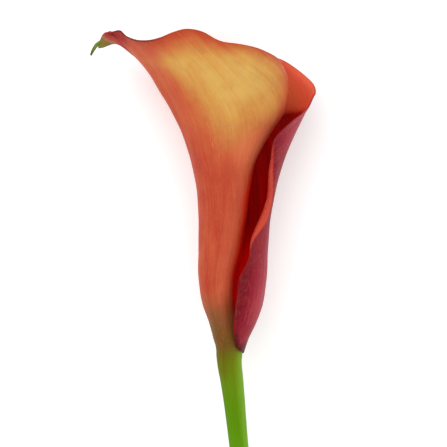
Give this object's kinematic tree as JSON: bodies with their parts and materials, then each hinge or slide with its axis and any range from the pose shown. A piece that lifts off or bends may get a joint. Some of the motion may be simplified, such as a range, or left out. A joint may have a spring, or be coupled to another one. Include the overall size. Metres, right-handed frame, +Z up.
{
  "type": "calla lily flower",
  "caption": "Cut calla lily lying on its back: a rolled funnel spathe, yellow to orange with a crimson overlapping flap and a green tip, on a smooth green stem, with a yellow spadix inside.",
  "frame": {"origin": "middle of the bounding box, on the surface that the flower lies on", "axes": "+Y along the flower from the cut end of the stem to the rim of the bloom, +Z up from the surface, +X to the right with the green tip on the left"},
  "size_m": [0.0668, 0.2492, 0.0438],
  "materials": {
    "stem": "smooth fleshy green skin, satin",
    "spathe": "waxy petal, yellow to orange outside and crimson on the flap, satin",
    "spadix": "fine yellow florets, matte"
  },
  "bodies": {
    "root": {"stem": "stem", "spathe": "spathe", "spadix": "spadix"}
  },
  "joints": []
}
